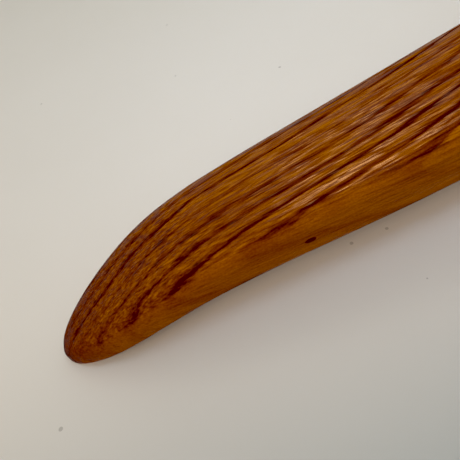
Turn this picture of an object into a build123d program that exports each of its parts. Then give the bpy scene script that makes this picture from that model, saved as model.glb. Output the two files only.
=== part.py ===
from build123d import *
import math
import os

import numpy as np

# Long wooden shoehorn, millimetres, +Z up. It lies on its two ends with the blade's back up:
# +X runs from the blade's tip to the handle's end, Z = 0 is the surface it lies on, and the
# origin is the middle of its length, on that surface.

# ---- driving dimensions ----
LENGTH = 600.0  # tip to handle end
TIP_PLAN_ROUND = 40.0  # length of the tip's rounding, seen from above
TIP_BACK_ROUND = 55.0  # length of the back's drop to the tip
TIP_UNDER_ROUND = 8.0  # length of the rounding under the tip
TIP_CENTRE_Z = 1.6  # height of the tip's foremost point
END_PLAN_ROUND = 15.0  # radius of the handle's end, seen from above
END_SIDE_ROUND = 8.0  # length of the rounding of the handle's end, seen from the side
END_CENTRE_Z = 7.6  # height of the handle's rearmost point

# Lengthwise lines, each a list of (distance from the tip, value)
HALF_WIDTH = [(0, 14.4), (30, 15.9), (90, 19.0), (160, 21.1), (215, 21.5), (255, 19.6),
              (300, 13.6), (350, 11.8), (430, 12.2), (520, 14.4), (575, 15.2), (600, 15.0)]
CROWN = [(0, 14.6), (30, 22.6), (60, 26.9), (90, 29.4), (170, 36.6), (215, 41.0),
         (270, 44.9), (330, 44.6), (420, 38.0), (520, 25.8), (600, 14.8)]
SIDE = [(0, 0.4), (15, 5.8), (30, 11.8), (55, 16.2), (90, 17.4), (130, 19.6), (170, 23.4),
        (215, 28.0), (270, 33.6), (330, 36.8), (420, 30.2), (520, 17.6), (600, 7.2)]
THICKNESS = [(0, 6.4), (30, 5.6), (90, 4.8), (200, 4.8), (250, 7.0), (300, 15.0),
             (340, 16.2), (430, 16.4), (600, 16.0)]  # back to underside, at the middle

RIM = 3.6  # width of the blade's rounded rim
RIM_SHARE = 0.4  # most of the half width that the rim may take
BELLY = 1.0  # least depth of a full underside below the widest line
BACK_FULLNESS = 3.7  # superellipse exponent of the blade's back
HANDLE_FULLNESS = 2.5  # and of the handle, above and below
HOLLOW_FULLNESS = 2.6  # and of the scoop's hollow
HOLLOW_START = (5.0, 26.0)  # the hollow deepens from the tip between these distances
HOLLOW_END = (225.0, 300.0)  # and runs out into the neck between these

SCARF_START = 322.0  # distance from the tip where the scarf leaves the back
SCARF_LENGTH = 96.0  # about six times the shaft's thickness
PEG_DIAMETER = 4.0
PEG_SHARES = (0.36, 0.64)  # where the pegs stand along the scarf

EYE_SETBACK = 21.0  # hanging hole's centre to the handle's end
EYE_SLOPE_SPAN = 10.0  # length over which the back's slope at the hole is taken
EYE_BORE_RADIUS = 4.0
EYE_BARREL_RADIUS = 4.7
EYE_FLANGE_RADIUS = 7.2
EYE_FLANGE_HEIGHT = 0.9
EYE_SEAT_RADIUS = 7.6  # flat seats cut in the wood for the flange and for the washer
EYE_SEAT_HEIGHT = 7.1  # from mid thickness to either seat
EYE_EDGE = 0.4  # rounding of the eyelet's rims
WASHER_RADIUS = 7.0
WASHER_HEIGHT = 0.6
TAIL_RADIUS = 5.9  # the eyelet's tail, rolled over the washer
TAIL_HEIGHT = 0.6
LONG_CUT = 60.0  # longer than any thickness that is drilled

# ---- where the sections stand, and how finely each is drawn ----
TIP_STATIONS = [0.5, 2, 5, 10, 18, 28]  # distances from the tip
MIDDLE_STATIONS = range(40, 561, 20)
END_STATIONS = [574, 584, 591, 596, 599, 599.8]
HALF_STEPS = 20  # steps round the back, and as many round the underside
RIM_STEPS = 4  # of the underside's steps, those round each rim
HOLLOW_STEPS = HALF_STEPS - 2 * RIM_STEPS


def smooth_line(knots):
    """A natural cubic spline through the knots, as a function of the distance."""
    x, y = (np.array(values, float) for values in zip(*knots))
    gap = np.diff(x)
    slope = np.diff(y) / gap
    matrix = np.eye(len(x))
    bend = np.zeros(len(x))
    for i in range(1, len(x) - 1):
        matrix[i, i - 1:i + 2] = gap[i - 1], 2 * (gap[i - 1] + gap[i]), gap[i]
        bend[i] = 6 * (slope[i] - slope[i - 1])
    bend = np.linalg.solve(matrix, bend)

    def value(distance):
        i = int(np.clip(np.searchsorted(x, distance) - 1, 0, len(gap) - 1))
        before, after = distance - x[i], x[i + 1] - distance
        curve = (bend[i] * after**3 + bend[i + 1] * before**3) / (6 * gap[i])
        left = (y[i] / gap[i] - bend[i] * gap[i] / 6) * after
        right = (y[i + 1] / gap[i] - bend[i + 1] * gap[i] / 6) * before
        return float(curve + left + right)

    return value


half_width_line = smooth_line(HALF_WIDTH)
crown_line = smooth_line(CROWN)
side_line = smooth_line(SIDE)
thickness_line = smooth_line(THICKNESS)


def rounding(distance, length):
    """0 at an end and 1 from `length` inwards, along a quarter of an ellipse."""
    inside = min(max(distance / length, 0.0), 1.0)
    return math.sqrt(1 - (1 - inside)**2)


def ease(distance, span):
    """0 before the span, 1 after it, and smooth between."""
    share = min(max((distance - span[0]) / (span[1] - span[0]), 0.0), 1.0)
    return share * share * (3 - 2 * share)


def hollowness(distance):
    """1 where the underside is scooped out, 0 where it is full and rounded."""
    return ease(distance, HOLLOW_START) * (1 - ease(distance, HOLLOW_END))


def height(distance, value, tip_round):
    """A lengthwise line's height, drawn to a point at the tip and at the handle's end."""
    z = TIP_CENTRE_Z + (value - TIP_CENTRE_Z) * rounding(distance, tip_round)
    return END_CENTRE_Z + (z - END_CENTRE_Z) * rounding(LENGTH - distance, END_SIDE_ROUND)


def arch(half_width, rise, fullness, angle):
    """A point on half a superellipse that stands on the Y axis."""
    across, up = math.cos(angle), max(math.sin(angle), 0.0)
    y = half_width * math.copysign(abs(across)**(2 / fullness), across)
    return y, rise * up**(2 / fullness)


def section_points(distance):
    """The outline across the shoehorn: over the back, then back under it."""
    width = half_width_line(distance) * rounding(distance, TIP_PLAN_ROUND)
    width *= rounding(LENGTH - distance, END_PLAN_ROUND)
    crown_z = height(distance, crown_line(distance), TIP_BACK_ROUND)
    side_z = height(distance, side_line(distance), TIP_UNDER_ROUND)
    under_z = crown_line(distance) - thickness_line(distance)
    under_z = height(distance, max(under_z, 0.0), TIP_UNDER_ROUND)
    scooped = hollowness(distance)
    boxiness = 1 - ease(distance, HOLLOW_END)
    fullness = HANDLE_FULLNESS + (BACK_FULLNESS - HANDLE_FULLNESS) * boxiness

    angles = [math.pi * i / HALF_STEPS for i in range(HALF_STEPS + 1)]
    back = [arch(width, crown_z - side_z, fullness, angle) for angle in angles]
    points = [(y, side_z + z) for y, z in back]

    inner = width - min(RIM, RIM_SHARE * width)
    rim = (width - inner) / 2
    full_depth = min(under_z - side_z, -BELLY)
    under = []
    for i in range(1, HALF_STEPS):
        full = arch(-width, full_depth, HANDLE_FULLNESS, angles[i])
        if i < RIM_STEPS:
            turn = math.pi * i / RIM_STEPS
            hollow = (-(width - rim) - rim * math.cos(turn), -rim * math.sin(turn))
        elif i > HALF_STEPS - RIM_STEPS:
            turn = math.pi * (HALF_STEPS - i) / RIM_STEPS
            hollow = (width - rim + rim * math.cos(turn), -rim * math.sin(turn))
        else:
            turn = math.pi * (i - RIM_STEPS) / HOLLOW_STEPS
            hollow = arch(-inner, under_z - side_z, HOLLOW_FULLNESS, turn)
        under.append([f + (h - f) * scooped for f, h in zip(full, hollow)])
    points += [(y, side_z + z) for y, z in under]
    return points


def section(distance):
    """The section's face, in its plane across the shoehorn."""
    x = distance - LENGTH / 2
    points = [Vector(x, y, z) for y, z in section_points(distance)]
    down, up = Vector(0, 0, -1), Vector(0, 0, 1)
    back = Spline(points[:HALF_STEPS + 1], tangents=(up, down))
    under = Spline(points[HALF_STEPS:] + points[:1], tangents=(down, up))
    return make_face([back, under])


def whole_body():
    """The outside of the glued-up wood, tip to handle end."""
    stations = [*TIP_STATIONS, *MIDDLE_STATIONS, *END_STATIONS]
    return loft([section(distance) for distance in stations])


def scarf_plane():
    """The sloping glue plane: it leaves the back at its start and the underside at its end."""
    start_z = crown_line(SCARF_START)
    end = SCARF_START + SCARF_LENGTH
    end_z = crown_line(end) - thickness_line(end)
    start_point = Vector(SCARF_START - LENGTH / 2, 0, start_z)
    end_point = Vector(end - LENGTH / 2, 0, end_z)
    along = (end_point - start_point).normalized()
    return Plane(origin=start_point, x_dir=along, z_dir=along.cross(Vector(0, 1, 0)) * -1)


def peg_rods():
    """Rods across the scarf, longer than the wood is thick."""
    glue = scarf_plane()
    rods = []
    for share in PEG_SHARES:
        centre = glue.origin + glue.x_dir * (share * SCARF_LENGTH)
        square = Plane(origin=centre, x_dir=glue.x_dir, z_dir=glue.z_dir)
        rods.append(square * Cylinder(PEG_DIAMETER / 2, LONG_CUT))
    return rods


def eye_plane():
    """On the hanging hole's axis, at mid thickness, with its Z square to the handle's back."""
    distance = LENGTH - EYE_SETBACK
    before, after = distance - EYE_SLOPE_SPAN / 2, distance + EYE_SLOPE_SPAN / 2
    slope = (crown_line(after) - crown_line(before)) / EYE_SLOPE_SPAN
    middle = crown_line(distance) - thickness_line(distance) / 2
    centre = (distance - LENGTH / 2, 0, middle)
    return Plane(origin=centre, x_dir=(1, 0, slope), z_dir=(-slope, 0, 1))


def eye_cuts():
    """The hanging hole and the two flat seats at its mouths."""
    hole = Cylinder(EYE_BARREL_RADIUS, LONG_CUT)
    rise = EYE_SEAT_HEIGHT + LONG_CUT / 2
    seats = [Pos(0, 0, side * rise) * Cylinder(EYE_SEAT_RADIUS, LONG_CUT) for side in (1, -1)]
    return [eye_plane() * cut for cut in [hole] + seats]


def ring(inner, outer, low, high):
    """A flat ring about Z between two heights."""
    middle, tall = (low + high) / 2, high - low
    return Pos(0, 0, middle) * (Cylinder(outer, tall) - Cylinder(inner, tall))


def eyelet():
    """A flanged barrel whose tail is rolled over the washer."""
    tail_top = -EYE_SEAT_HEIGHT - WASHER_HEIGHT
    tail_end = tail_top - TAIL_HEIGHT
    flange_top = EYE_SEAT_HEIGHT + EYE_FLANGE_HEIGHT
    barrel = ring(EYE_BORE_RADIUS, EYE_BARREL_RADIUS, tail_end, flange_top)
    flange = ring(EYE_BORE_RADIUS, EYE_FLANGE_RADIUS, EYE_SEAT_HEIGHT, flange_top)
    tail = ring(EYE_BORE_RADIUS, TAIL_RADIUS, tail_end, tail_top)
    made = barrel + flange + tail
    circles = made.edges().filter_by(GeomType.CIRCLE)
    rims = circles.group_by(Axis.Z)[-1] + circles.group_by(Axis.Z)[0]
    return eye_plane() * fillet(rims, EYE_EDGE)


def washer():
    """The washer under the eyelet's tail."""
    low = -EYE_SEAT_HEIGHT - WASHER_HEIGHT
    return eye_plane() * ring(EYE_BARREL_RADIUS, WASHER_RADIUS, low, -EYE_SEAT_HEIGHT)


def less(wood, cuts):
    """The wood with each cut taken out of it."""
    for cut in cuts:
        wood = wood - cut
    return wood


def write_parts():
    """Make each piece and write it to a file of its own."""
    body = whole_body()
    rods = peg_rods()
    blade = split(body, bisect_by=scarf_plane(), keep=Keep.TOP)
    shaft = split(body, bisect_by=scarf_plane(), keep=Keep.BOTTOM)
    pieces = {
        "blade": less(blade, rods),
        "shaft": less(shaft, rods + eye_cuts()),
        "scarf_pegs": Compound(children=[(body & rod).solid() for rod in rods]),
        "eyelet": eyelet(),
        "eyelet_washer": washer(),
    }
    os.makedirs("parts", exist_ok=True)
    for name, piece in pieces.items():
        export_step(piece, f"parts/{name}.step")
        box = piece.bounding_box()
        print(name, round(piece.volume), "mm3, lowest", round(box.min.Z, 2), "valid", piece.is_valid)
    eye = eye_plane()
    print("hanging hole at", eye.origin, "along", eye.z_dir)


write_parts()
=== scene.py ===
# %% [markdown]
# # A long wooden shoehorn
# The shoehorn is two pieces of oiled teak glued in a long scarf joint: a blade carved from a
# thick board and a slim handle. It lies on a pale table with its back up, touching it with the
# blade's tip and the handle's end. The imported CAD model is loaded first, because the tip's
# place and some pieces below come from it. X runs from the blade's tip to the handle's end, Z is up.

# %% Load the frame
import bpy
import bmesh
import math
import numpy as np
from mathutils import Matrix, Vector


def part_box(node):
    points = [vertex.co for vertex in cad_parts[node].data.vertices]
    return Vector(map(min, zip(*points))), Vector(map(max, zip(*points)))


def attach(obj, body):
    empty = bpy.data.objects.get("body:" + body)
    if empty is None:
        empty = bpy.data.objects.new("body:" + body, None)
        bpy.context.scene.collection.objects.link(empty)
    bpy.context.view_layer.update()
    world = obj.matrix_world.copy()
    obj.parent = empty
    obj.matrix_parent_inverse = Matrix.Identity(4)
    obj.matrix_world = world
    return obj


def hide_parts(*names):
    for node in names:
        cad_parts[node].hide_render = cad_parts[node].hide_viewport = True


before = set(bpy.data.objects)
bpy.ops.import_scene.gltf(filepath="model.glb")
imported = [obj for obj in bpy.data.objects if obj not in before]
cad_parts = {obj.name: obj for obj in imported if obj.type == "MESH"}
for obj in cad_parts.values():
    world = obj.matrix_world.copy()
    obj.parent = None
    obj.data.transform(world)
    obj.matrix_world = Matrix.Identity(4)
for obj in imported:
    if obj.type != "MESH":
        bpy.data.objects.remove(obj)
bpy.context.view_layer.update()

# %% [markdown]
# # The camera
# The view is a close one: the lens is near the blade's end and looks down on it at about 45
# degrees, turned a little about its own line of sight, so that the blade rises to the right.
# A camera this near draws the far part of the blade wider than a distant one would, which no
# later crop could imitate, so its distance matters as much as its angle.

# %% Camera
MM = 0.001
TIP_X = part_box("blade")[0].x
TURN, ELEVATION, ROLL = (math.radians(v) for v in (-1.33, 45.6, -25.1))
LOOK_AT = Vector((TIP_X + 56.3 * MM, 16.0 * MM, 0))
DISTANCE = 161 * MM
FOCAL_LENGTH = 41.46  # mm, on the usual 36 mm sensor
NEAREST = 10 * MM  # nothing closer than this to the lens is drawn

right = Vector((math.cos(TURN), math.sin(TURN), 0))
level_back = Vector((math.sin(TURN), -math.cos(TURN), 0))
back = level_back * math.cos(ELEVATION) + Vector((0, 0, math.sin(ELEVATION)))
up = back.cross(right)
rolled_right = right * math.cos(ROLL) + up * math.sin(ROLL)
rolled_up = up * math.cos(ROLL) - right * math.sin(ROLL)

camera = bpy.data.objects.new("camera", bpy.data.cameras.new("camera"))
camera.data.lens = FOCAL_LENGTH
camera.data.clip_start = NEAREST
camera.matrix_world = Matrix.Translation(LOOK_AT + back * DISTANCE) @ Matrix(
    (rolled_right, rolled_up, back)).transposed().to_4x4()
bpy.context.scene.collection.objects.link(camera)
bpy.context.scene.camera = camera
print("camera at", [round(v, 3) for v in camera.matrix_world.translation])

# %% [markdown]
# # Helpers: colours, nodes and flat sheets
# A material is a net of small nodes. One helper adds a node, sets its properties and fills its
# sockets, with a plain value or with another node's output, so each material below reads as a
# list of steps. Colours are written as the hex values that a screen shows; Blender's shaders
# work in linear light, so one function converts them. Two more helpers put a mesh in the scene
# and make a flat sheet, for what stands round the shoehorn and isn't part of it.

# %% Helpers
def linear(code):
    """A screen colour such as '#7B3F03' as linear light, with its opacity."""
    parts = [int(code[i:i + 2], 16) / 255 for i in (1, 3, 5)]
    return [v / 12.92 if v <= 0.04045 else ((v + 0.055) / 1.055)**2.4 for v in parts] + [1.0]


def add(tree, kind, inputs, **settings):
    """Add one node; an input is a plain value or another node's output."""
    made = tree.nodes.new("ShaderNode" + kind)
    for name, value in settings.items():
        setattr(made, name, value)
    for socket, value in inputs.items():
        if isinstance(value, bpy.types.NodeSocket):
            tree.links.new(value, made.inputs[socket])
        else:
            made.inputs[socket].default_value = value
    return made


def new_material(name):
    """A material with an empty node tree."""
    material = bpy.data.materials.new(name)
    material.use_nodes = True
    material.node_tree.nodes.clear()
    return material, material.node_tree


def link(name, data):
    """An object for a mesh or a lamp, in the scene."""
    made = bpy.data.objects.new(name, data)
    bpy.context.scene.collection.objects.link(made)
    return made


def sheet(name, corners, material):
    """A flat sheet with four corners, in the scene."""
    mesh = bpy.data.meshes.new(name)
    mesh.from_pydata(corners, [], [(0, 1, 2, 3)])
    mesh.materials.append(material)
    made = link(name, mesh)
    return made


# %% [markdown]
# # The table
# The shoehorn lies on a smooth pale table, an off-white laminate with a few specks of dust. A
# large plane is enough, because only its colour and its soft shadows are seen. The specks are
# cells of a Voronoi pattern: about one cell in five is kept, and only the middle of it is dark.

# %% Table top
TABLE_SIZE = 6.0  # m
CLOUD_SCALE = 14.0  # cloudings per metre, about
SPECK_SPACING = 9.0  # mm
SPECK_SIZE = 0.07  # a speck's radius, as a share of the spacing
SPECK_SHARE = 0.22  # the share of cells with a speck
SPECK_STRENGTH = 0.4


def laminate():
    """Off-white laminate: smooth, hardly glossy, with faint clouding and a few dust specks."""
    material, tree = new_material("table_laminate")
    place = add(tree, "TexCoord", {}).outputs["Object"]
    cloud = add(tree, "TexNoise", {"Vector": place, "Scale": CLOUD_SCALE, "Detail": 3.0})
    tone = add(tree, "MixRGB", {
        "Fac": cloud.outputs["Fac"], "Color1": linear("#DCD9D1"), "Color2": linear("#E1DED7")})
    cells = add(tree, "TexVoronoi", {"Vector": place, "Scale": 1 / (SPECK_SPACING * MM)})
    near = add(tree, "Math", {0: cells.outputs["Distance"], 1: SPECK_SIZE}, operation="LESS_THAN")
    kept = add(tree, "SeparateColor", {"Color": cells.outputs["Color"]})
    chosen = add(tree, "Math", {0: kept.outputs["Red"], 1: SPECK_SHARE}, operation="LESS_THAN")
    speck = add(tree, "Math", {0: near.outputs[0], 1: chosen.outputs[0]}, operation="MULTIPLY")
    faint = add(tree, "Math", {0: speck.outputs[0], 1: SPECK_STRENGTH}, operation="MULTIPLY")
    colour = add(tree, "MixRGB", {
        "Fac": faint.outputs[0], "Color1": tone.outputs[0], "Color2": linear("#6A655C")})
    shader = add(tree, "BsdfPrincipled", {
        "Base Color": colour.outputs[0], "Roughness": 0.6, "IOR": 1.45, "Specular IOR Level": 0.2})
    add(tree, "OutputMaterial", {"Surface": shader.outputs[0]})
    return material


half = TABLE_SIZE / 2
sheet("table", [(-half, -half, 0), (half, -half, 0), (half, half, 0), (-half, half, 0)], laminate())
print("table", TABLE_SIZE, "m")

# %% [markdown]
# # The light
# A bright, even room lights everything from all round. A warm lamp on the near side lights the
# plain side face, and a low dark flag holds some of its light off the table in front, so that
# the table darkens towards the viewer. A weak overhead lamp lifts the table round the blade. The
# gleam lamp shows only in reflections: it draws the pale streaks on the near half of the back.

# %% Lamps
BLADE_MIDDLE = Vector((TIP_X + 90 * MM, 0, 0))
BEYOND_BLADE = Vector((TIP_X + 100 * MM, 100 * MM, 0))
FLAG_WIDTH, FLAG_HEIGHT = 800 * MM, 80 * MM
FLAG_PLACE = Vector((TIP_X + 100 * MM, -125 * MM, 20 * MM))
ROOM_COLOUR, ROOM_STRENGTH = "#F9FFFC", 0.55
BLACK_LEVEL = 0.004  # deepens the darkest tones a little, as a camera does


def lamp(name, direction, distance, size, power, colour, aim=BLADE_MIDDLE, spread=180.0):
    """A square area lamp, out from the blade's middle in a direction, that faces a point."""
    data = bpy.data.lights.new(name, "AREA")
    data.shape, data.size, data.energy = "SQUARE", size, power
    data.color = linear(colour)[:3]
    data.spread = math.radians(spread)
    made = link(name, data)
    made.location = BLADE_MIDDLE + Vector(direction).normalized() * distance
    made.rotation_euler = (aim - made.location).to_track_quat("-Z", "Y").to_euler()
    return made


def felt():
    """Black felt, which gives back almost no light."""
    material, tree = new_material("black_felt")
    shader = add(tree, "BsdfPrincipled", {"Base Color": linear("#3C3A38"), "Roughness": 1.0})
    add(tree, "OutputMaterial", {"Surface": shader.outputs[0]})
    return material


near_side = lamp("near_side", (-0.4, -0.9, 1.0), 1.2, 0.5, 6.2, "#FFDFC3")
overhead = lamp("overhead", (0.2, -0.3, 0.93), 0.4, 0.14, 0.055, "#CCDEFF", BEYOND_BLADE, 56.0)
for soft in (near_side, overhead):
    soft.visible_glossy = False
gleam = lamp("gleam", (0.15, 0.42, 0.90), 1.0, 0.30, 13.0, "#FFF4DE")
gleam.visible_diffuse = False

# The flag hangs just above the table and shades it in front of the blade. Neither the camera
# nor the gloss shows it.
side = FLAG_WIDTH / 2
flag = sheet("flag", [(-side, 0, 0), (side, 0, 0), (side, 0, FLAG_HEIGHT), (-side, 0, FLAG_HEIGHT)], felt())
flag.location = FLAG_PLACE
flag.visible_camera = flag.visible_glossy = False

world = bpy.data.worlds.new("room")
world.use_nodes = True
room = world.node_tree.nodes["Background"].inputs
room["Color"].default_value = linear(ROOM_COLOUR)
room["Strength"].default_value = ROOM_STRENGTH
bpy.context.scene.world = world
view = bpy.context.scene.view_settings
view.view_transform = "Standard"
view.use_curve_mapping = True
view.curve_mapping.black_level = (BLACK_LEVEL, BLACK_LEVEL, BLACK_LEVEL)
view.curve_mapping.update()
print("lamps", near_side.name, overhead.name, gleam.name)

# %% [markdown]
# # The shape of the wood
# The CAD model is exact but plain. The same wood is drawn here from its lengthwise lines as an
# even grid of faces, which shades smoothly, and its near shoulder is carved a little crisper.
# Each line below is a list of (distance from the tip, value) in millimetres: half the width, the
# height of the back, the height of the widest line and the thickness at the middle.

# %% Lengthwise lines
LENGTH = 600.0
HALF_WIDTH = [(0, 14.4), (30, 15.9), (90, 19.0), (160, 21.1), (215, 21.5), (255, 19.6),
              (300, 13.6), (350, 11.8), (430, 12.2), (520, 14.4), (575, 15.2), (600, 15.0)]
CROWN = [(0, 14.6), (30, 22.6), (60, 26.9), (90, 29.4), (170, 36.6), (215, 41.0),
         (270, 44.9), (330, 44.6), (420, 38.0), (520, 25.8), (600, 14.8)]
SIDE = [(0, 0.4), (15, 5.8), (30, 11.8), (55, 16.2), (90, 17.4), (130, 19.6), (170, 23.4),
        (215, 28.0), (270, 33.6), (330, 36.8), (420, 30.2), (520, 17.6), (600, 7.2)]
THICKNESS = [(0, 6.4), (30, 5.6), (90, 4.8), (200, 4.8), (250, 7.0), (300, 15.0),
             (340, 16.2), (430, 16.4), (600, 16.0)]


def smooth_line(knots):
    """A natural cubic spline through the knots, as a function of the distance."""
    x, y = (np.array(values, float) for values in zip(*knots))
    gap = np.diff(x)
    slope = np.diff(y) / gap
    matrix = np.eye(len(x))
    bend = np.zeros(len(x))
    for i in range(1, len(x) - 1):
        matrix[i, i - 1:i + 2] = gap[i - 1], 2 * (gap[i - 1] + gap[i]), gap[i]
        bend[i] = 6 * (slope[i] - slope[i - 1])
    bend = np.linalg.solve(matrix, bend)

    def value(distance):
        i = int(np.clip(np.searchsorted(x, distance) - 1, 0, len(gap) - 1))
        before, after = distance - x[i], x[i + 1] - distance
        curve = (bend[i] * after**3 + bend[i + 1] * before**3) / (6 * gap[i])
        left = (y[i] / gap[i] - bend[i] * gap[i] / 6) * after
        right_part = (y[i + 1] / gap[i] - bend[i + 1] * gap[i] / 6) * before
        return float(curve + left + right_part)

    return value


half_width_line = smooth_line(HALF_WIDTH)
crown_line = smooth_line(CROWN)
side_line = smooth_line(SIDE)
thickness_line = smooth_line(THICKNESS)
print("widest", round(2 * max(half_width_line(d) for d in range(int(LENGTH))), 1), "mm")

# %% [markdown]
# # From lines to sections
# Across its length the blade is an arch with a nearly flat crown and full shoulders, scooped out
# below, with rounded rims. The handle is a full oval. A section is therefore drawn twice, once
# scooped and once full, and the two are mixed, so the hollow runs out gently at both ends.

# %% Sections
TIP_PLAN_ROUND, TIP_BACK_ROUND, TIP_UNDER_ROUND, TIP_CENTRE_Z = 40.0, 55.0, 8.0, 1.6
END_PLAN_ROUND, END_SIDE_ROUND, END_CENTRE_Z = 15.0, 8.0, 7.6
RIM, BELLY = 3.6, 1.0
RIM_SHARE = 0.4  # a rim takes no more than this share of the half width
BACK_FULLNESS, HANDLE_FULLNESS, HOLLOW_FULLNESS = 3.7, 2.5, 2.6
HOLLOW_START, HOLLOW_END = (5.0, 26.0), (225.0, 300.0)
NEAR_CRISPNESS = 2.6  # the near shoulder is carved crisper than the far one
CRISP_FROM = (25.0, 90.0)  # it sharpens between these distances
BACK_POINTS, RIM_POINTS, HOLLOW_POINTS = 72, 8, 44


def rounding(distance, length):
    """0 at an end and 1 from `length` inwards, along a quarter of an ellipse."""
    inside = min(max(distance / length, 0.0), 1.0)
    return math.sqrt(1 - (1 - inside)**2)


def ease(distance, span):
    """0 before the span, 1 after it, and smooth between."""
    share = min(max((distance - span[0]) / (span[1] - span[0]), 0.0), 1.0)
    return share * share * (3 - 2 * share)


def height(distance, value, tip_round):
    """A lengthwise line's height, drawn to a point at the tip and at the handle's end."""
    z = TIP_CENTRE_Z + (value - TIP_CENTRE_Z) * rounding(distance, tip_round)
    return END_CENTRE_Z + (z - END_CENTRE_Z) * rounding(LENGTH - distance, END_SIDE_ROUND)


def arch(half_width, rise, fullness, turn):
    """Points on half a superellipse that stands on the Y axis."""
    across, raised = np.cos(turn), np.maximum(np.sin(turn), 0.0)
    y = half_width * np.sign(across) * np.abs(across)**(2 / fullness)
    return np.stack([y, rise * raised**(2 / fullness)], 1)


def section(distance):
    """The outline across the shoehorn: over the back, then back under it."""
    width = half_width_line(distance) * rounding(distance, TIP_PLAN_ROUND)
    width *= rounding(LENGTH - distance, END_PLAN_ROUND)
    crown_z = height(distance, crown_line(distance), TIP_BACK_ROUND)
    side_z = height(distance, side_line(distance), TIP_UNDER_ROUND)
    under_z = max(crown_line(distance) - thickness_line(distance), 0.0)
    under_z = height(distance, under_z, TIP_UNDER_ROUND)
    scooped = ease(distance, HOLLOW_START) * (1 - ease(distance, HOLLOW_END))
    fullness = HANDLE_FULLNESS + (BACK_FULLNESS - HANDLE_FULLNESS) * (1 - ease(distance, HOLLOW_END))

    turn = np.linspace(0, math.pi, BACK_POINTS)
    crisp = fullness + NEAR_CRISPNESS * ease(distance, CRISP_FROM) * (1 - ease(distance, HOLLOW_END))
    over = arch(width, crown_z - side_z, np.where(turn > math.pi / 2, crisp, fullness), turn)
    inner = width - min(RIM, RIM_SHARE * width)
    rim = (width - inner) / 2
    turn = np.linspace(0, math.pi, RIM_POINTS + 1)[1:-1]
    left_rim = np.stack([-(width - rim) - rim * np.cos(turn), -rim * np.sin(turn)], 1)
    right_rim = (left_rim * (-1, 1))[::-1]
    hollow = arch(-inner, under_z - side_z, HOLLOW_FULLNESS, np.linspace(0, math.pi, HOLLOW_POINTS))
    hollow = np.concatenate([left_rim, hollow, right_rim])
    full_turn = np.linspace(0, math.pi, len(hollow) + 2)[1:-1]
    full = arch(-width, min(under_z - side_z, -BELLY), HANDLE_FULLNESS, full_turn)
    outline = np.concatenate([over, full + (hollow - full) * scooped])
    outline[:, 1] += side_z
    return outline


# %% [markdown]
# # The grid of faces
# The sections stand 1.2 mm apart along the length and closer together at the two rounded ends,
# where the outline turns quickly. One point closes each end.

# %% The whole body
STEP = 1.2
TIP_RINGS, END_RINGS = 45, 25


def stations():
    """Distances from the tip, evenly spread round both rounded ends."""
    turn = np.linspace(0, math.pi / 2, TIP_RINGS + 1)[1:]
    tip = TIP_PLAN_ROUND * (1 - np.cos(turn))
    turn = np.linspace(math.pi / 2, 0, END_RINGS + 1)[:-1]
    end = LENGTH - END_PLAN_ROUND * (1 - np.cos(turn))
    count = int((end[0] - tip[-1]) / STEP)
    return np.concatenate([tip, np.linspace(tip[-1], end[0], count)[1:-1], end])


def body_mesh():
    """The closed outside of the glued-up wood, in metres."""
    distances = stations()
    rings = [section(d) for d in distances]
    around = len(rings[0])
    points = [(0, 0, TIP_CENTRE_Z)]
    for distance, ring in zip(distances, rings):
        points += [(distance, y, z) for y, z in ring]
    points.append((LENGTH, 0, END_CENTRE_Z))
    faces = []
    for i in range(len(rings) - 1):
        row = 1 + i * around
        for j in range(around):
            k = (j + 1) % around
            faces.append((row + j, row + k, row + around + k, row + around + j))
    last = len(points) - 1
    row = last - around
    for j in range(around):
        k = (j + 1) % around
        faces.append((0, 1 + k, 1 + j))
        faces.append((last, row + j, row + k))
    mesh = bpy.data.meshes.new("body")
    mesh.from_pydata([(TIP_X + x * MM, y * MM, z * MM) for x, y, z in points], [], faces)
    mesh.validate()
    return mesh


body = body_mesh()
print("body", len(body.vertices), "points")

# %% [markdown]
# # Two boards and a scarf
# A real maker glues the two boards first and shapes them afterwards, so both pieces share one
# outside. The same is done here: one body is cut in two by the sloping glue plane, and each
# half is closed with a flat face. The plane is worked out from the back and the underside.

# %% Cut at the scarf
SCARF_START, SCARF_LENGTH = 322.0, 96.0
PEG_SHARES = (0.36, 0.64)
PEG_RADIUS = 2.0
scarf_end = SCARF_START + SCARF_LENGTH
scarf_from = Vector((TIP_X + SCARF_START * MM, 0, crown_line(SCARF_START) * MM))
scarf_to = Vector((TIP_X + scarf_end * MM, 0, (crown_line(scarf_end) - thickness_line(scarf_end)) * MM))
scarf_along = (scarf_to - scarf_from).normalized()
scarf_normal = Vector((-scarf_along.z, 0, scarf_along.x))


def half_of_body(name, keep_above):
    """The body on one side of the glue plane, with the cut closed."""
    shape = bmesh.new()
    shape.from_mesh(body)
    everything = shape.verts[:] + shape.edges[:] + shape.faces[:]
    cut = bmesh.ops.bisect_plane(shape, geom=everything, plane_co=scarf_from, plane_no=scarf_normal,
                                 clear_inner=keep_above, clear_outer=not keep_above, dist=1e-7)
    edges = [e for e in cut["geom_cut"] if isinstance(e, bmesh.types.BMEdge)]
    bmesh.ops.holes_fill(shape, edges=edges, sides=0)
    bmesh.ops.recalc_face_normals(shape, faces=shape.faces)
    mesh = bpy.data.meshes.new(name)
    shape.to_mesh(mesh)
    shape.free()
    return link(name, mesh)


shaft = half_of_body("shaft_of_teak", True)
blade = half_of_body("blade_of_teak", False)
print("blade", len(blade.data.polygons), "faces; shaft", len(shaft.data.polygons), "faces")

# %% [markdown]
# # Holes for the pegs and the eyelet
# The pegs and the brass eyelet sit in real holes, so the wood needs them too. Boolean modifiers
# take plain cylinders out of it. They are applied at once by reading the evaluated mesh, which
# leaves one clean mesh per piece.

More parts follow.
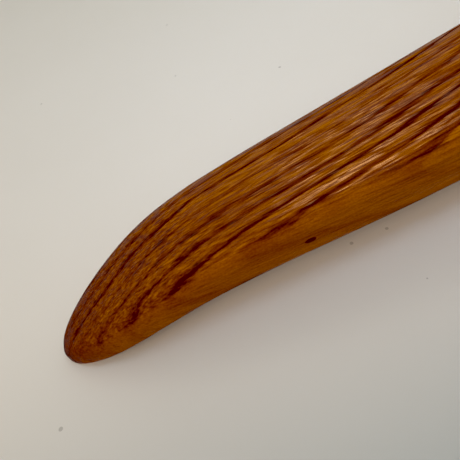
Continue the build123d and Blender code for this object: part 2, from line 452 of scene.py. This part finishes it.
# %% Drilling
EYE_SETBACK, EYE_BARREL_RADIUS, EYE_SEAT_RADIUS, EYE_SEAT_HEIGHT = 21.0, 4.7, 7.6, 7.1
EYE_SLOPE_SPAN = 10.0  # the back's slope is measured over this length
DRILL_REACH, DRILL_SIDES = 30.0, 64
WOOD_SHARP = 35.0  # edges bent more than this, in degrees, stay sharp
eye_distance = LENGTH - EYE_SETBACK
before_eye, after_eye = (crown_line(eye_distance + side * EYE_SLOPE_SPAN / 2) for side in (-1, 1))
eye_fall = (after_eye - before_eye) / EYE_SLOPE_SPAN
eye_middle = crown_line(eye_distance) - thickness_line(eye_distance) / 2
eye_axis = Vector((-eye_fall, 0, 1)).normalized()
eye_centre = Vector((TIP_X + eye_distance * MM, 0, eye_middle * MM))


def upright(centre, axis):
    """The placement whose Z runs along an axis in the XZ plane."""
    across = Vector((0, 1, 0))
    return Matrix.Translation(centre) @ Matrix((across.cross(axis), across, axis)).transposed().to_4x4()


def drill(place, radius, low, high):
    """A cylinder to cut with, between two heights along its placement's Z, in millimetres."""
    shape = bmesh.new()
    bmesh.ops.create_cone(shape, cap_ends=True, segments=DRILL_SIDES, radius1=radius * MM,
                          radius2=radius * MM, depth=(high - low) * MM)
    bmesh.ops.translate(shape, verts=shape.verts, vec=(0, 0, (low + high) / 2 * MM))
    mesh = bpy.data.meshes.new("drill")
    shape.to_mesh(mesh)
    shape.free()
    mesh.transform(place)
    return link("drill", mesh)


def shade_smooth(mesh, sharp):
    """Smooth shading, except at edges bent more than `sharp` degrees."""
    mesh.polygons.foreach_set("use_smooth", [True] * len(mesh.polygons))
    mesh.set_sharp_from_angle(angle=math.radians(sharp))


def cut_out(piece, drills):
    """Take the drills out of the piece and keep the result as its mesh."""
    for tool in drills:
        cutter = piece.modifiers.new("cut", "BOOLEAN")
        cutter.operation, cutter.solver, cutter.object = "DIFFERENCE", "EXACT", tool
    graph = bpy.context.evaluated_depsgraph_get()
    mesh = bpy.data.meshes.new_from_object(piece.evaluated_get(graph))
    piece.modifiers.clear()
    piece.data = mesh


peg_centres = [scarf_from + scarf_along * (share * SCARF_LENGTH * MM) for share in PEG_SHARES]
peg_places = [upright(centre, scarf_normal) for centre in peg_centres]
peg_drills = [drill(place, PEG_RADIUS, -DRILL_REACH, DRILL_REACH) for place in peg_places]
eye_place = upright(eye_centre, eye_axis)
eye_drills = [drill(eye_place, EYE_BARREL_RADIUS, -DRILL_REACH, DRILL_REACH),
              drill(eye_place, EYE_SEAT_RADIUS, EYE_SEAT_HEIGHT, DRILL_REACH),
              drill(eye_place, EYE_SEAT_RADIUS, -DRILL_REACH, -EYE_SEAT_HEIGHT)]
cut_out(blade, peg_drills)
cut_out(shaft, peg_drills + eye_drills)
for tool in peg_drills + eye_drills:
    bpy.data.objects.remove(tool)
for piece in (blade, shaft):
    shade_smooth(piece.data, WOOD_SHARP)
print("eyelet at", [round(v, 4) for v in eye_centre])

# %% [markdown]
# # Teak
# Teak is a ring-porous wood: each year's growth starts with a pale open-pored layer and ends in
# a dense red-brown line. Cut and polished, the layers show as stripes where they meet the
# surface steeply and as broad plain bands where they lie along it. So the pattern is drawn in
# space, not on the surface: the distance across the layers is worked out at each point, bent by
# slow noise, and cut into years. Pores and fibres are noise stretched along the grain. Oil
# rubbed into the wood deepens its colour and leaves a satin gloss that the pores break up.

# %% The grain of a board
class Board:
    """The node tree of one board's material, with the place in it measured along the grain.

    yaw and pitch turn the fibres away from +X, in plan and upwards; tilt turns the growth
    layers up from the near side; centre is a point of the board, in millimetres; shift moves
    all its noises, so that no two boards look the same.
    """

    def __init__(self, tree, yaw, pitch, tilt, centre, shift):
        self.tree, self.shift = tree, shift
        yaw, pitch, tilt = (math.radians(v) for v in (yaw, pitch, tilt))
        level = Vector((math.cos(yaw), math.sin(yaw), 0))
        fibre = level * math.cos(pitch) + Vector((0, 0, math.sin(pitch)))
        outward = Vector((0, -math.cos(tilt), math.sin(tilt)))
        self.fibre, self.outward = fibre, (outward - fibre * outward.dot(fibre)).normalized()
        place = self.add("TexCoord", {}).outputs["Object"]
        place = self.add("VectorMath", {0: place, 3: 1 / MM}, operation="SCALE").outputs[0]
        place = self.add("VectorMath", {0: place, 1: centre}, operation="SUBTRACT").outputs[0]
        self.place, self.centre = place, Vector(centre)
        self.along, self.across, self.beside = (
            self.add("VectorMath", {0: place, 1: axis}, operation="DOT_PRODUCT").outputs["Value"]
            for axis in (fibre, self.outward, fibre.cross(self.outward)))

    def add(self, kind, inputs, **settings):
        """Add one node to this board's material."""
        return add(self.tree, kind, inputs, **settings)

    def math(self, operation, a, b=0.0):
        """One sum or other piece of arithmetic."""
        return self.add("Math", {0: a, 1: b}, operation=operation).outputs[0]

    def total(self, *parts):
        """The sum of several values."""
        result = parts[0]
        for part in parts[1:]:
            result = self.math("ADD", result, part)
        return result

    def times(self, *parts):
        """The product of several values."""
        result = parts[0]
        for part in parts[1:]:
            result = self.math("MULTIPLY", result, part)
        return result

    def off_plane(self, point, normal):
        """The distance from a plane, in millimetres; the point is in metres."""
        made = self.add("VectorMath", {0: self.place, 1: normal}, operation="DOT_PRODUCT")
        offset = self.math("SUBTRACT", made.outputs["Value"], (point / MM - self.centre).dot(normal))
        return self.math("ABSOLUTE", offset)

    def faces(self, axis):
        """How squarely the surface faces an axis, either way: 0 to 1."""
        normal = self.add("NewGeometry", {}).outputs["Normal"]
        cosine = self.add("VectorMath", {0: normal, 1: axis}, operation="DOT_PRODUCT").outputs["Value"]
        return self.times(cosine, cosine)

    def spot(self, centre, radii):
        """1 inside an ellipsoid of the board, 0 outside it, with a soft edge."""
        offset = self.add("VectorMath", {0: self.place, 1: centre}, operation="SUBTRACT").outputs[0]
        offset = self.add("VectorMath", {0: offset, 1: radii}, operation="DIVIDE").outputs[0]
        away = self.add("VectorMath", {0: offset}, operation="LENGTH").outputs["Value"]
        return self.scaled(away, 1.1, 0.7)

    def scaled(self, value, low, high, to_low=0.0, to_high=1.0, kind="SMOOTHSTEP"):
        """A value carried from one range to another, and held at its ends."""
        made = self.add("MapRange", {
            "Value": value, "From Min": low, "From Max": high, "To Min": to_low, "To Max": to_high
        }, interpolation_type=kind)
        return made.outputs[0]

    def noise(self, kind):
        """Noise of one kind, between about -1 and 1."""
        sizes, detail, shift = kind
        places = (self.along, self.across, self.beside)
        x, y, z = (self.math("DIVIDE", place, size) for place, size in zip(places, sizes))
        spot = self.add("CombineXYZ", {"X": x, "Y": y, "Z": self.math("ADD", z, self.shift + shift)})
        made = self.add("TexNoise", {"Vector": spot.outputs[0], "Scale": 1.0, "Detail": detail})
        return self.scaled(made.outputs["Fac"], 0.25, 0.75, -1.0, 1.0, "LINEAR")

    def ramp(self, value, stops, kind="LINEAR"):
        """A value turned into a colour, or into a level, by a list of (position, colour or level)."""
        made = self.add("ValToRGB", {"Fac": value})
        elements = made.color_ramp.elements
        made.color_ramp.interpolation = kind
        while len(elements) < len(stops):
            elements.new(0.5)
        for element, (position, colour) in zip(elements, stops):
            element.position = position
            element.color = colour if isinstance(colour, list) else (colour, colour, colour, 1)
        return made.outputs[0]


# %% [markdown]
# # From grain to teak
# The darkness of a point is a sum: the late wood of its year, how dry that year was, streaks,
# fibres, pores and slow blotches. Where the surface lies along a layer, as on the blade's
# sides, or cuts across the fibres, as at the tip, the same wood looks plain, so the stripes are
# weakened there. Each noise below has the size of its grains in millimetres (along the fibres,
# across the layers and beside both), a level of finer detail, and a shift that sets it apart.

# %% The teak material
YEAR = 4.0  # mm of growth in a year
TEAK_TONES = [(0.0, "#A06008"), (0.3, "#854602"), (0.6, "#6A2800"), (0.95, "#430600")]
SIDEWAYS = Vector((0, -1, 0.25)).normalized()  # the blade's sides face this way or the other
PLAIN = 0.3  # what is left of the stripes there
WORN_TIP = (12, 48)  # mm from the tip between which the worn tip's dull wood regains its polish
WORN_SHINE = 0.25
CHRONOLOGY = [0.9, 0.38, 0.6, 0.8, 1.0, 0.95, 0.8, 0.5, 0.65, 0.45]  # how dark each year's late wood is
# Through a year: the last year's line fades, early wood is pale, late wood darkens to a sharp end.
SEASON = [(0.0, 0.8), (0.05, 0.4), (0.14, 0.1), (0.56, 0.08), (0.74, 0.35), (0.88, 0.95), (1.0, 1.0)]
SWAY = (130, 22, 40), 1.0, 0
WOBBLE = (45, 2.2, 3.5), 2.0, 5
STREAKS = (110, 1.0, 1.0), 3.0, 11
FIBRES = (120, 0.5, 0.5), 1.0, 17  # fibres, speckle and pores are a little coarser than real ones
SPECKLE = (0.5, 0.35, 0.35), 0.0, 19
PORES = (12, 0.45, 0.45), 0.0, 23
BLOTCHES = (55, 9, 9), 1.0, 31
RING_ROUNDNESS = 1 / 300  # the layers curve as rings round a far-off heart
KNOT_RADII = (1.5, 1.2, 0.75)
GLUE_LINE = (0.25, 0.1)  # mm from the glue plane where the glue's dark line fades in and is full
RELIEF = 0.035 * MM


def growth(board, first_year, lean):
    """How dark the yearly layers make each point, from 0 to 1."""
    # The layers run straight, then lean to one side; they sway slowly and wobble finely.
    lean_start, lean_round, lean_slope = lean
    past = board.math("SUBTRACT", board.along, lean_start)
    reach = board.math("SQRT", board.math("ADD", board.times(past, past), lean_round**2))
    turn = board.times(board.math("ADD", past, reach), lean_slope / 2)
    curve = board.times(board.beside, board.beside, RING_ROUNDNESS)
    sway = board.times(board.noise(SWAY), 0.7)
    wobble = board.times(board.noise(WOBBLE), 0.55)
    depth = board.total(board.across, turn, curve, sway, wobble)
    years = board.math("DIVIDE", board.math("ADD", depth, first_year), YEAR)
    year = board.math("FLOOR", years)
    season = board.math("SUBTRACT", years, year)
    decade = board.math("FRACT", board.math("DIVIDE", board.math("ADD", year, 0.5), len(CHRONOLOGY)))
    levels = [(i / len(CHRONOLOGY), level) for i, level in enumerate(CHRONOLOGY)]
    return board.times(board.ramp(season, SEASON), board.ramp(decade, levels, "CONSTANT"))


def teak(name, yaw, pitch, tilt, centre, shift, first_year, lean, knot, sheen):
    """Oiled teak, sanded and rubbed: striped and streaky, with a warm satin sheen."""
    material, tree = new_material(name)
    board = Board(tree, yaw, pitch, tilt, centre, shift)

    # How steeply the surface cuts the layers, and how far it cuts across the fibres.
    end_grain = board.faces(board.fibre)
    steep = board.times(board.scaled(board.faces(SIDEWAYS), 0.6, 0.78, 1.0, PLAIN),
                        board.scaled(end_grain, 0.05, 0.5, 1.0, PLAIN))

    dark = board.times(growth(board, first_year, lean), steep)
    streaks, fibres = board.noise(STREAKS), board.noise(FIBRES)
    pores = board.scaled(board.noise(PORES), 0.5, 0.95)
    glue_line = board.scaled(board.off_plane(scarf_from, scarf_normal), *GLUE_LINE)
    darkness = board.total(
        board.times(dark, 0.66), board.times(streaks, steep, 0.3), board.times(fibres, steep, 0.26),
        board.times(pores, 0.12), board.times(board.noise(SPECKLE), 0.07),
        board.times(board.noise(BLOTCHES), 0.08), board.times(end_grain, 0.95),
        board.scaled(steep, PLAIN, 1.0, 0.22, 0.27), board.spot(knot, KNOT_RADII),
        board.times(glue_line, 0.5))
    colour = board.ramp(darkness, [(position, linear(code)) for position, code in TEAK_TONES])

    # Pale streaks are glossiest, the worn tip least; fibres and pores give a fine relief.
    shine = board.total(board.math("SUBTRACT", streaks, dark), board.times(fibres, -0.45))
    from_tip = board.math("ADD", board.along, centre[0] - TIP_X / MM)
    gloss = board.times(board.scaled(shine, -0.4, 0.4, 0.0, 0.19), steep,
                        board.scaled(from_tip, *WORN_TIP, WORN_SHINE, 1.0))
    relief = board.math("SUBTRACT", board.times(fibres, 0.8), pores)
    bump = board.add("Bump", {"Height": relief, "Distance": RELIEF, "Strength": 1.0})
    rough = board.total(board.times(pores, 0.2), board.times(dark, 0.1), sheen)
    shader = board.add("BsdfPrincipled", {
        "Base Color": colour, "Roughness": rough, "IOR": 1.5, "Specular IOR Level": gloss,
        "Specular Tint": linear("#FFC27A"), "Normal": bump.outputs[0]})
    board.add("OutputMaterial", {"Surface": shader.outputs[0]})
    return material


blade.data.materials.clear()
blade.data.materials.append(teak(
    "oiled_teak_blade", yaw=0.0, pitch=0.0, tilt=28.5, centre=(TIP_X / MM + 60, 0, 28), shift=0.0,
    first_year=5.7 + YEAR, lean=(32, 12, 0.12), knot=(11.5, -18, -8), sheen=0.26))
shaft.data.materials.clear()
shaft.data.materials.append(teak(
    "oiled_teak_shaft", yaw=-1.0, pitch=-5.0, tilt=70.0, centre=(TIP_X / MM + 480, 0, 25), shift=7.3,
    first_year=1.3, lean=(0, 60, 0.03), knot=(-40, 13, -6), sheen=0.28))
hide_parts("blade")
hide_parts("shaft")
for piece, name in ((blade, "blade_wood"), (shaft, "shaft_wood")):
    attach(piece, "root")
print("wood pieces ready")

# %% [markdown]
# # The pegs
# Two pegs of a darker, harder wood pin the scarf. They were driven through, sawn off and sanded
# flush, so only their ends are seen: round patches of end grain, full of small open pores.

# %% The pegs' ends
PEG_PORE = 0.35  # mm; coarser than real pores, so that they show
PEG_CLOUD = 1.5  # mm
PEG_RELIEF = 0.04 * MM


def peg_wood():
    """Dark hardwood cut across: brown, flecked with paler rays and near-black pores."""
    material, tree = new_material("peg_end_grain")
    place = add(tree, "TexCoord", {}).outputs["Object"]
    cells = add(tree, "TexVoronoi", {"Vector": place, "Scale": 1 / (PEG_PORE * MM)})
    cloud = add(tree, "TexNoise", {"Vector": place, "Scale": 1 / (PEG_CLOUD * MM), "Detail": 2.0})
    pore = add(tree, "MapRange", {"Value": cells.outputs["Distance"], "From Min": 0.18, "From Max": 0.4})
    brown = add(tree, "MixRGB", {
        "Fac": cloud.outputs["Fac"], "Color1": linear("#3A1A0A"), "Color2": linear("#5A2E14")})
    colour = add(tree, "MixRGB", {
        "Fac": pore.outputs[0], "Color1": linear("#1A0B04"), "Color2": brown.outputs[0]})
    bump = add(tree, "Bump", {"Height": pore.outputs[0], "Distance": PEG_RELIEF})
    shader = add(tree, "BsdfPrincipled", {
        "Base Color": colour.outputs[0], "Roughness": 0.42, "IOR": 1.5, "Normal": bump.outputs[0]})
    add(tree, "OutputMaterial", {"Surface": shader.outputs[0]})
    return material


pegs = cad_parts["scarf_pegs"]
pegs.material_slots[0].material = peg_wood()
print("pegs", len(pegs.material_slots), "slot")

# %% [markdown]
# # The brass eyelet and its washer
# The hanging hole is lined with a pressed brass eyelet. Its flange is rolled over softly on the
# back, and on the underside its tail is rolled over a stamped washer, which leaves a slightly
# scalloped edge. Both are turned shapes: a profile of (radius, height) points is carried round
# the hole's axis. Their sizes are those of the CAD pieces that they stand for.

# %% Turned brass
EYE_BORE_RADIUS = 4.0
EYELET_PROFILE = [(4.0, -7.4), (4.0, 0), (4.0, 7.3), (4.15, 7.7), (4.5, 7.93), (5.0, 8.0), (5.9, 7.92),
                  (6.7, 7.68), (7.1, 7.4), (7.15, 7.2), (7.0, 7.1), (4.7, 7.1), (4.7, 0), (4.7, -7.7)]
TAIL_PROFILE = [(5.7, -7.7), (5.88, -7.82), (5.88, -8.05), (5.65, -8.25), (5.1, -8.3), (4.5, -8.22),
                (4.12, -7.9)]
WASHER_PROFILE = [(4.72, -7.14), (6.8, -7.12), (6.98, -7.22), (7.0, -7.42), (6.93, -7.6), (6.75, -7.68),
                  (4.72, -7.66)]
TAIL_FOLDS, FOLD_DEPTH = 6, 0.09
TURNS = 144
BRASS_SHARP = 40.0
AGE_PATCH, SCRATCH = 2.2, 0.25  # mm
AGED_ROUGHER = 0.18
SCRATCH_DEPTH = 0.006 * MM


def turned(name, profile, folds_from=None):
    """Carry a closed profile round the hole's axis; points from `folds_from` on are scalloped."""
    points, faces = [], []
    count = len(profile)
    for i in range(TURNS):
        turn = 2 * math.pi * i / TURNS
        for j, (radius, rise) in enumerate(profile):
            if folds_from is not None and j >= folds_from:
                fold = FOLD_DEPTH * (1 - math.cos(TAIL_FOLDS * turn)) / 2
                radius -= fold * (radius - EYE_BORE_RADIUS)
            points.append((radius * math.cos(turn) * MM, radius * math.sin(turn) * MM, rise * MM))
            after, under = (i + 1) % TURNS, (j + 1) % count
            faces.append((i * count + j, after * count + j, after * count + under, i * count + under))
    mesh = bpy.data.meshes.new(name)
    mesh.from_pydata(points, [], faces)
    mesh.transform(eye_place)
    shape = bmesh.new()
    shape.from_mesh(mesh)
    bmesh.ops.recalc_face_normals(shape, faces=shape.faces)
    shape.to_mesh(mesh)
    shape.free()
    shade_smooth(mesh, BRASS_SHARP)
    return link(name, mesh)


def brass(name, bright, dull, roughness):
    """Pressed brass under old lacquer: warm yellow, browner and duller where it has aged."""
    material, tree = new_material(name)
    place = add(tree, "TexCoord", {}).outputs["Object"]
    age = add(tree, "TexNoise", {"Vector": place, "Scale": 1 / (AGE_PATCH * MM), "Detail": 4.0})
    worn = add(tree, "MapRange", {"Value": age.outputs["Fac"], "From Min": 0.42, "From Max": 0.68})
    colour = add(tree, "MixRGB", {"Fac": worn.outputs[0], "Color1": linear(bright), "Color2": linear(dull)})
    rough = add(tree, "MapRange", {
        "Value": worn.outputs[0], "To Min": roughness, "To Max": roughness + AGED_ROUGHER})
    scratches = add(tree, "TexNoise", {"Vector": place, "Scale": 1 / (SCRATCH * MM), "Detail": 2.0})
    bump = add(tree, "Bump", {"Height": scratches.outputs["Fac"], "Distance": SCRATCH_DEPTH})
    shader = add(tree, "BsdfPrincipled", {
        "Base Color": colour.outputs[0], "Metallic": 1.0, "Roughness": rough.outputs[0],
        "Normal": bump.outputs[0]})
    add(tree, "OutputMaterial", {"Surface": shader.outputs[0]})
    return material


eyelet = turned("rolled_brass_eyelet", EYELET_PROFILE + TAIL_PROFILE, len(EYELET_PROFILE))
eyelet.data.materials.append(brass("lacquered_brass_eyelet", "#D9AE62", "#9A6E34", 0.24))
washer = turned("stamped_brass_washer", WASHER_PROFILE)
washer.data.materials.append(brass("lacquered_brass_washer", "#CFA258", "#8E6430", 0.32))
for piece, node, name in ((eyelet, "eyelet", "eyelet_brass"), (washer, "eyelet_washer", "washer_brass")):
    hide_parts(node)
    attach(piece, "root")
print("brass pieces ready")
